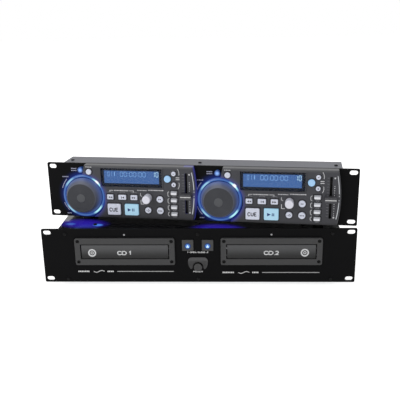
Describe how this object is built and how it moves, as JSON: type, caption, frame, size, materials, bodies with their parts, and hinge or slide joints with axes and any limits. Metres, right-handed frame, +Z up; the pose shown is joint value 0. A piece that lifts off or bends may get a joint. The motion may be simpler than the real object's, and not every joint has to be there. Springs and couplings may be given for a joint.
{
  "type": "dual disc player",
  "caption": "Rack disc player for DJs: a drive box with disc trays carries a turned controller with jog wheels, lit displays, keys, knobs and pitch faders.",
  "frame": {"origin": "Middle of the four rack slots of the drive unit, on the rear face of its front panel, where a rack rail meets it.", "axes": "+X right along the drive's front panel seen from the front, +Y back into the drive unit, +Z up."},
  "size_m": [0.4826, 0.2792, 0.1857],
  "materials": {
    "black_panel": "satin black paint",
    "black_steel": "fine textured black paint",
    "galvanised": "zinc plated sheet",
    "grey_steel": "smooth mid grey paint",
    "dark_plastic": "grained dark grey moulding",
    "tray_plastic": "fine grained grey moulding",
    "button_dark": "satin dark grey moulding",
    "black_screw": "blackened steel",
    "rubber": "matt black rubber",
    "socket_black": "black moulding",
    "iron": "varnished iron laminations",
    "circuit_board": "green lacquer",
    "fascia_plastic": "satin dark grey moulding",
    "trim_aluminium": "bright drawn strip",
    "light_ring": "clear blue light guide, lit",
    "display_blue": "lit blue liquid crystal",
    "window_glass": "clear tinted pane",
    "white_gear": "white acetal",
    "black_gloss": "glossy black moulding",
    "sled_grey": "glass-filled grey moulding",
    "jog_plastic": "satin grey moulding",
    "key_white": "pale translucent keycap",
    "key_silver": "silver grey keycap",
    "key_lit": "clear keycap, lit from behind",
    "blue_button": "clear blue keycap, lit",
    "knob_silver": "satin silver",
    "fader_grey": "satin dark grey"
  },
  "bodies": {
    "drive": {"drive_front_panel": "black_panel", "drive_chassis": "galvanised", "drive_cover": "black_steel", "tray_bezels": "dark_plastic", "power_surround": "dark_plastic", "drive_screws": "black_screw", "drive_feet": "rubber", "rear_sockets": "socket_black", "mains_inlet": "socket_black", "loader_frames": "galvanised", "power_transformer": "iron", "drive_board": "circuit_board"},
    "controller": {"controller_panel": "black_panel", "controller_housing": "grey_steel", "controller_cover": "grey_steel", "controller_screws": "black_screw", "controller_feet": "rubber", "controller_board": "circuit_board", "control_fascias": "fascia_plastic", "fascia_trims": "trim_aluminium", "jog_light_rings": "light_ring", "display_modules": "display_blue", "display_windows": "window_glass"},
    "power_button": {"power_button": "button_dark"},
    "left_disc_tray": {"left_disc_tray": "tray_plastic"},
    "left_tray_pinion": {"left_tray_pinion": "white_gear"},
    "left_turntable": {"left_turntable": "black_gloss"},
    "left_laser_sled": {"left_laser_sled": "sled_grey"},
    "left_eject_button": {"left_eject_button": "button_dark"},
    "left_jog_wheel": {"left_jog_wheel": "jog_plastic"},
    "left_cue_button": {"left_cue_button": "key_white"},
    "left_play_button": {"left_play_button": "key_lit"},
    "left_track_keys": {"left_track_keys": "key_white"},
    "left_loop_keys": {"left_loop_keys": "key_silver"},
    "left_mode_buttons": {"left_mode_buttons": "key_white"},
    "left_bend_buttons": {"left_bend_buttons": "key_white"},
    "left_pitch_button": {"left_pitch_button": "key_lit"},
    "left_tap_button": {"left_tap_button": "key_white"},
    "left_play_mode_button": {"left_play_mode_button": "key_white"},
    "left_tray_button": {"left_tray_button": "blue_button"},
    "left_track_knob": {"left_track_knob": "knob_silver"},
    "left_fader_knob": {"left_fader_knob": "fader_grey"},
    "right_disc_tray": {"right_disc_tray": "tray_plastic"},
    "right_tray_pinion": {"right_tray_pinion": "white_gear"},
    "right_turntable": {"right_turntable": "black_gloss"},
    "right_laser_sled": {"right_laser_sled": "sled_grey"},
    "right_eject_button": {"right_eject_button": "button_dark"},
    "right_jog_wheel": {"right_jog_wheel": "jog_plastic"},
    "right_cue_button": {"right_cue_button": "key_white"},
    "right_play_button": {"right_play_button": "key_lit"},
    "right_track_keys": {"right_track_keys": "key_white"},
    "right_loop_keys": {"right_loop_keys": "key_silver"},
    "right_mode_buttons": {"right_mode_buttons": "key_white"},
    "right_bend_buttons": {"right_bend_buttons": "key_white"},
    "right_pitch_button": {"right_pitch_button": "key_lit"},
    "right_tap_button": {"right_tap_button": "key_white"},
    "right_play_mode_button": {"right_play_mode_button": "key_white"},
    "right_tray_button": {"right_tray_button": "blue_button"},
    "right_track_knob": {"right_track_knob": "knob_silver"},
    "right_fader_knob": {"right_fader_knob": "fader_grey"}
  },
  "joints": [
    {"name": "controller_lift", "type": "slide", "parent": "drive", "child": "controller", "axis": [0, 0, 1], "range_m": [0, 0.12]},
    {"name": "power_press", "type": "slide", "parent": "drive", "child": "power_button", "axis": [0, 1, 0], "range_m": [0, 0.002], "stiffness_N_per_m": 400},
    {"name": "left_tray_slide", "type": "slide", "parent": "drive", "child": "left_disc_tray", "axis": [0, -1, 0], "range_m": [0, 0.138]},
    {"name": "left_pinion_spin", "type": "hinge", "parent": "drive", "child": "left_tray_pinion", "pos_m": [-0.1506, 0.03, -0.00225], "axis": [0, 0, 1], "range_deg": [-15, 1335]},
    {"name": "left_turntable_spin", "type": "hinge", "parent": "drive", "child": "left_turntable", "pos_m": [-0.1126, 0.072, -0.00725], "axis": [0, 0, 1], "continuous": true},
    {"name": "left_sled_slide", "type": "slide", "parent": "drive", "child": "left_laser_sled", "axis": [0, 1, 0], "range_m": [0, 0.035]},
    {"name": "left_eject_press", "type": "slide", "parent": "drive", "child": "left_eject_button", "axis": [0, 1, 0], "range_m": [0, 0.0012], "stiffness_N_per_m": 300},
    {"name": "left_jog_spin", "type": "hinge", "parent": "controller", "child": "left_jog_wheel", "pos_m": [-0.18155, 0.03852, 0.08375], "axis": [0.1182, 0.993, 0], "continuous": true},
    {"name": "left_knob_spin", "type": "hinge", "parent": "controller", "child": "left_track_knob", "pos_m": [-0.07684, 0.02101, 0.08605], "axis": [0.1182, 0.993, 0], "continuous": true},
    {"name": "left_fader_slide", "type": "slide", "parent": "controller", "child": "left_fader_knob", "axis": [0, 0, 1], "range_m": [-0.0268, 0.0332]},
    {"name": "left_cue_press", "type": "slide", "parent": "controller", "child": "left_cue_button", "axis": [0.1182, 0.993, 0], "range_m": [0, 0.0012], "stiffness_N_per_m": 300},
    {"name": "left_play_press", "type": "slide", "parent": "controller", "child": "left_play_button", "axis": [0.1182, 0.993, 0], "range_m": [0, 0.0012], "stiffness_N_per_m": 300},
    {"name": "left_track_press", "type": "slide", "parent": "controller", "child": "left_track_keys", "axis": [0.1182, 0.993, 0], "range_m": [0, 0.0012], "stiffness_N_per_m": 300},
    {"name": "left_loop_press", "type": "slide", "parent": "controller", "child": "left_loop_keys", "axis": [0.1182, 0.993, 0], "range_m": [0, 0.0012], "stiffness_N_per_m": 300},
    {"name": "left_mode_press", "type": "slide", "parent": "controller", "child": "left_mode_buttons", "axis": [0.1182, 0.993, 0], "range_m": [0, 0.0012], "stiffness_N_per_m": 300},
    {"name": "left_bend_press", "type": "slide", "parent": "controller", "child": "left_bend_buttons", "axis": [0.1182, 0.993, 0], "range_m": [0, 0.0012], "stiffness_N_per_m": 300},
    {"name": "left_pitch_press", "type": "slide", "parent": "controller", "child": "left_pitch_button", "axis": [0.1182, 0.993, 0], "range_m": [0, 0.0012], "stiffness_N_per_m": 300},
    {"name": "left_tap_press", "type": "slide", "parent": "controller", "child": "left_tap_button", "axis": [0.1182, 0.993, 0], "range_m": [0, 0.0012], "stiffness_N_per_m": 300},
    {"name": "left_play_mode_press", "type": "slide", "parent": "controller", "child": "left_play_mode_button", "axis": [0.1182, 0.993, 0], "range_m": [0, 0.0012], "stiffness_N_per_m": 300},
    {"name": "left_tray_press", "type": "slide", "parent": "controller", "child": "left_tray_button", "axis": [0.1182, 0.993, 0], "range_m": [0, 0.0012], "stiffness_N_per_m": 300},
    {"name": "right_tray_slide", "type": "slide", "parent": "drive", "child": "right_disc_tray", "axis": [0, -1, 0], "range_m": [0, 0.138]},
    {"name": "right_pinion_spin", "type": "hinge", "parent": "drive", "child": "right_tray_pinion", "pos_m": [0.0746, 0.03, -0.00225], "axis": [0, 0, 1], "range_deg": [-15, 1335]},
    {"name": "right_turntable_spin", "type": "hinge", "parent": "drive", "child": "right_turntable", "pos_m": [0.1126, 0.072, -0.00725], "axis": [0, 0, 1], "continuous": true},
    {"name": "right_sled_slide", "type": "slide", "parent": "drive", "child": "right_laser_sled", "axis": [0, 1, 0], "range_m": [0, 0.035]},
    {"name": "right_eject_press", "type": "slide", "parent": "drive", "child": "right_eject_button", "axis": [0, 1, 0], "range_m": [0, 0.0012], "stiffness_N_per_m": 300},
    {"name": "right_jog_spin", "type": "hinge", "parent": "controller", "child": "right_jog_wheel", "pos_m": [0.03343, 0.01292, 0.08375], "axis": [0.1182, 0.993, 0], "continuous": true},
    {"name": "right_knob_spin", "type": "hinge", "parent": "controller", "child": "right_track_knob", "pos_m": [0.13814, -0.00458, 0.08605], "axis": [0.1182, 0.993, 0], "continuous": true},
    {"name": "right_fader_slide", "type": "slide", "parent": "controller", "child": "right_fader_knob", "axis": [0, 0, 1], "range_m": [-0.0286, 0.0314]},
    {"name": "right_cue_press", "type": "slide", "parent": "controller", "child": "right_cue_button", "axis": [0.1182, 0.993, 0], "range_m": [0, 0.0012], "stiffness_N_per_m": 300},
    {"name": "right_play_press", "type": "slide", "parent": "controller", "child": "right_play_button", "axis": [0.1182, 0.993, 0], "range_m": [0, 0.0012], "stiffness_N_per_m": 300},
    {"name": "right_track_press", "type": "slide", "parent": "controller", "child": "right_track_keys", "axis": [0.1182, 0.993, 0], "range_m": [0, 0.0012], "stiffness_N_per_m": 300},
    {"name": "right_loop_press", "type": "slide", "parent": "controller", "child": "right_loop_keys", "axis": [0.1182, 0.993, 0], "range_m": [0, 0.0012], "stiffness_N_per_m": 300},
    {"name": "right_mode_press", "type": "slide", "parent": "controller", "child": "right_mode_buttons", "axis": [0.1182, 0.993, 0], "range_m": [0, 0.0012], "stiffness_N_per_m": 300},
    {"name": "right_bend_press", "type": "slide", "parent": "controller", "child": "right_bend_buttons", "axis": [0.1182, 0.993, 0], "range_m": [0, 0.0012], "stiffness_N_per_m": 300},
    {"name": "right_pitch_press", "type": "slide", "parent": "controller", "child": "right_pitch_button", "axis": [0.1182, 0.993, 0], "range_m": [0, 0.0012], "stiffness_N_per_m": 300},
    {"name": "right_tap_press", "type": "slide", "parent": "controller", "child": "right_tap_button", "axis": [0.1182, 0.993, 0], "range_m": [0, 0.0012], "stiffness_N_per_m": 300},
    {"name": "right_play_mode_press", "type": "slide", "parent": "controller", "child": "right_play_mode_button", "axis": [0.1182, 0.993, 0], "range_m": [0, 0.0012], "stiffness_N_per_m": 300},
    {"name": "right_tray_press", "type": "slide", "parent": "controller", "child": "right_tray_button", "axis": [0.1182, 0.993, 0], "range_m": [0, 0.0012], "stiffness_N_per_m": 300}
  ],
  "couplings": [
    {"joint": "left_pinion_spin", "follows": "left_tray_slide", "rad_per_m": 166.67},
    {"joint": "right_pinion_spin", "follows": "right_tray_slide", "rad_per_m": 166.67}
  ]
}
